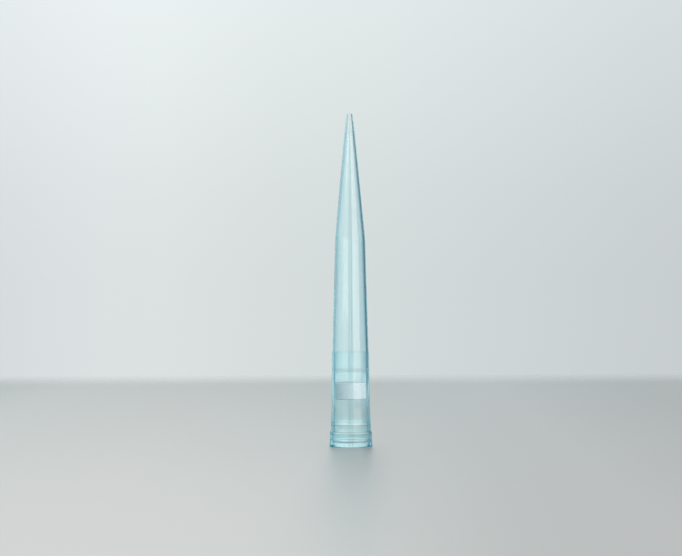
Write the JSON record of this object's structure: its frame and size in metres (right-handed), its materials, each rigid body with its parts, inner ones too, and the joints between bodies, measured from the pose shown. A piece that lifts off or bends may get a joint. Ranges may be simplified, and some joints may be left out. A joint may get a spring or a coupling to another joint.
{
  "type": "pipette tip",
  "caption": "Long tapering pipette tip in thin clear blue-tinted plastic, with a ribbed collar that presses onto a pipette's nozzle and a white porous filter plug inside.",
  "frame": {"origin": "on the axis, in the plane of the collar rim that the tip stands on", "axes": "+Z along the tip's axis, from the collar rim to the orifice; one rib of the collar faces -Y"},
  "size_m": [0.009, 0.009, 0.069],
  "materials": {
    "clear_polypropylene": "clear, pale blue tint, smooth",
    "porous_polyethylene": "sintered granules, matte"
  },
  "bodies": {
    "root": {"tip_body": "clear_polypropylene", "filter": "porous_polyethylene"}
  },
  "joints": []
}
